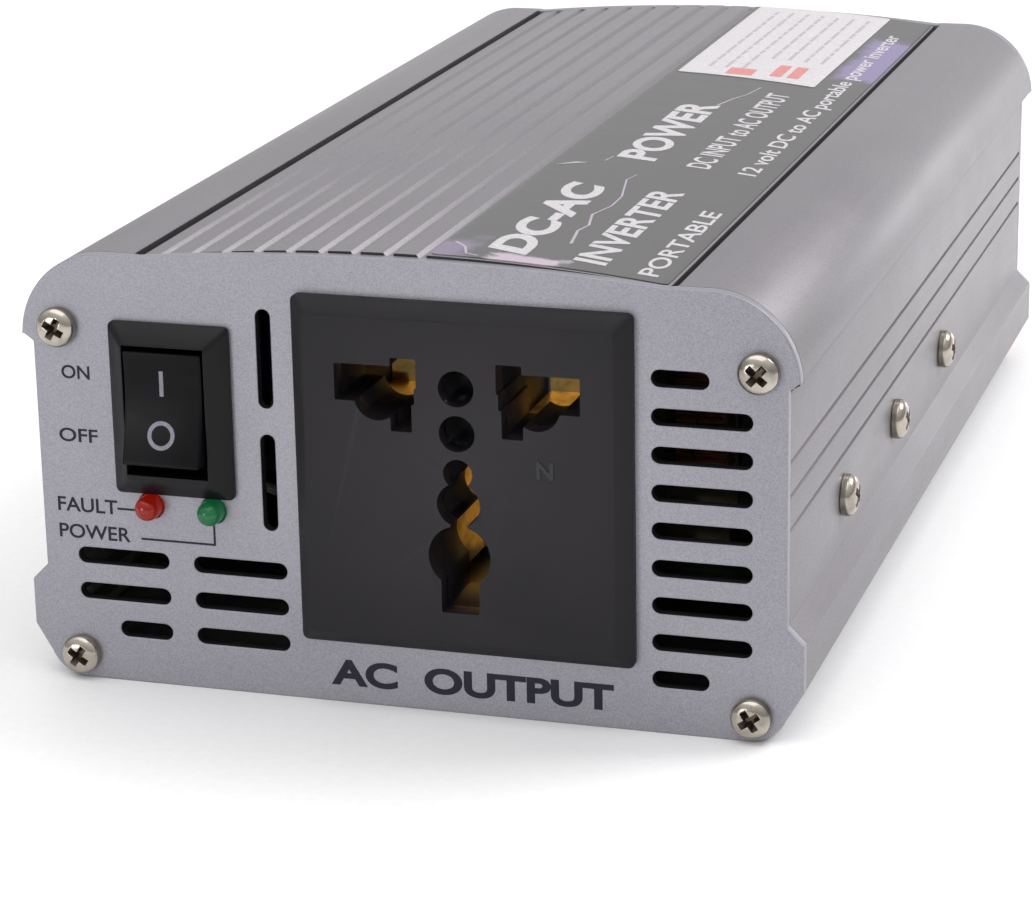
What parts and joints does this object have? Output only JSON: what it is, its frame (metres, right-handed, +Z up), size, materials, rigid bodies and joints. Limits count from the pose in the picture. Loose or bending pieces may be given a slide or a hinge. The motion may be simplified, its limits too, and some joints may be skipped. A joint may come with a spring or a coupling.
{
  "type": "power inverter",
  "caption": "Flat aluminium-cased power inverter with a ribbed crowned lid, a universal AC socket, rocker switch, two lamps, a rear fan and two DC binding posts.",
  "frame": {"origin": "bottom centre of the whole object's bounding box, on the surface it stands on", "axes": "+Z up, the AC panel with the socket and switch faces -Y, the DC terminals point along +Y, +X is to the right seen from the AC panel"},
  "size_m": [0.095, 0.196, 0.055],
  "materials": {
    "extrusion_paint": "satin metallic, fine grain",
    "panel_paint": "satin metallic, fine grain",
    "nickel": "bright nickel plate",
    "bar_aluminium": "mill finish",
    "pad_silicone": "matt",
    "chip_epoxy": "matt moulded",
    "switch_plastic": "satin moulded",
    "rocker_plastic": "smooth moulded",
    "outlet_plastic": "fine spark texture",
    "cover_plastic": "matt moulded",
    "contact_brass": "rolled, slightly tarnished",
    "lamp_red": "clear tinted epoxy",
    "lamp_green": "clear tinted epoxy",
    "board_green": "solder mask",
    "ferrite": "matt sintered",
    "bobbin_plastic": "matt moulded",
    "copper": "enamelled",
    "capacitor_sleeve": "shrink sleeve",
    "fuse_plastic": "clear tinted",
    "fan_plastic": "matt moulded",
    "terminal_red": "satin moulded",
    "terminal_black": "satin moulded",
    "insulator_ivory": "matt moulded",
    "wire_red": "smooth",
    "wire_yellow": "smooth",
    "wire_white": "smooth",
    "label_film": "semi-gloss printed film",
    "sticker_film": "semi-gloss printed film"
  },
  "bodies": {
    "case": {"base_extrusion": "extrusion_paint", "top_extrusion": "extrusion_paint", "front_plate": "panel_paint", "rear_plate": "panel_paint", "front_plate_screws": "nickel", "rear_plate_screws": "nickel", "side_screws": "nickel", "clamp_bars": "bar_aluminium", "insulating_pads": "pad_silicone", "power_transistors": "chip_epoxy", "switch_housing": "switch_plastic", "switch_terminals": "contact_brass", "outlet_face": "outlet_plastic", "outlet_back_cover": "cover_plastic", "outlet_screws": "nickel", "live_contact": "contact_brass", "neutral_contact": "contact_brass", "earth_contact": "contact_brass", "fault_lamp": "lamp_red", "power_lamp": "lamp_green", "main_board": "board_green", "transformer_cores": "ferrite", "transformer_bobbins": "bobbin_plastic", "transformer_windings": "copper", "input_capacitors": "capacitor_sleeve", "high_voltage_capacitor": "capacitor_sleeve", "choke_core": "ferrite", "choke_winding": "copper", "control_board": "board_green", "control_chips": "chip_epoxy", "buzzer": "chip_epoxy", "blade_fuses": "fuse_plastic", "fan_frame": "fan_plastic", "fan_stator": "copper", "fan_screws": "nickel", "fan_nuts": "nickel", "positive_collar": "terminal_red", "negative_collar": "terminal_black", "inner_insulators": "insulator_ivory", "terminal_studs": "contact_brass", "terminal_nuts": "nickel", "dc_busbars": "copper", "outlet_wires": "wire_red", "switch_wires": "wire_yellow", "lamp_wires": "wire_white", "fan_wires": "wire_red", "top_label": "label_film", "info_sticker": "sticker_film"},
    "rocker": {"switch_rocker": "rocker_plastic", "switch_plunger": "nickel"},
    "seesaw": {"switch_seesaw": "contact_brass"},
    "fan_wheel": {"fan_rotor": "fan_plastic"},
    "positive_washer_body": {"positive_washer": "nickel"},
    "positive_knob_body": {"positive_knob": "terminal_red"},
    "negative_washer_body": {"negative_washer": "nickel"},
    "negative_knob_body": {"negative_knob": "terminal_black"}
  },
  "joints": [
    {"name": "rocker_tilt", "type": "hinge", "parent": "case", "child": "rocker", "pos_m": [-0.0281, -0.09222, 0.03505], "axis": [1, 0, 0], "range_deg": [0, 16]},
    {"name": "seesaw_tilt", "type": "hinge", "parent": "case", "child": "seesaw", "pos_m": [-0.0281, -0.08382, 0.03505], "axis": [1, 0, 0], "range_deg": [-10, 0]},
    {"name": "fan_spin", "type": "hinge", "parent": "case", "child": "fan_wheel", "pos_m": [-0.0185, 0.06178, 0.0265], "axis": [0, 1, 0], "continuous": true},
    {"name": "positive_washer_travel", "type": "slide", "parent": "case", "child": "positive_washer_body", "axis": [0, 1, 0], "range_m": [0, 0.005]},
    {"name": "positive_knob_turn", "type": "hinge", "parent": "positive_washer_body", "child": "positive_knob_body", "pos_m": [0.0335, 0.08398, 0.0265], "axis": [0, 1, 0], "range_deg": [0, 1800]},
    {"name": "negative_washer_travel", "type": "slide", "parent": "case", "child": "negative_washer_body", "axis": [0, 1, 0], "range_m": [0, 0.005]},
    {"name": "negative_knob_turn", "type": "hinge", "parent": "negative_washer_body", "child": "negative_knob_body", "pos_m": [0.013, 0.08398, 0.0265], "axis": [0, 1, 0], "range_deg": [0, 1800]}
  ],
  "couplings": [
    {"joint": "seesaw_tilt", "follows": "rocker_tilt", "ratio": -0.625},
    {"joint": "positive_washer_travel", "follows": "positive_knob_turn", "m_per_rad": 0.00015915},
    {"joint": "negative_washer_travel", "follows": "negative_knob_turn", "m_per_rad": 0.00015915}
  ]
}
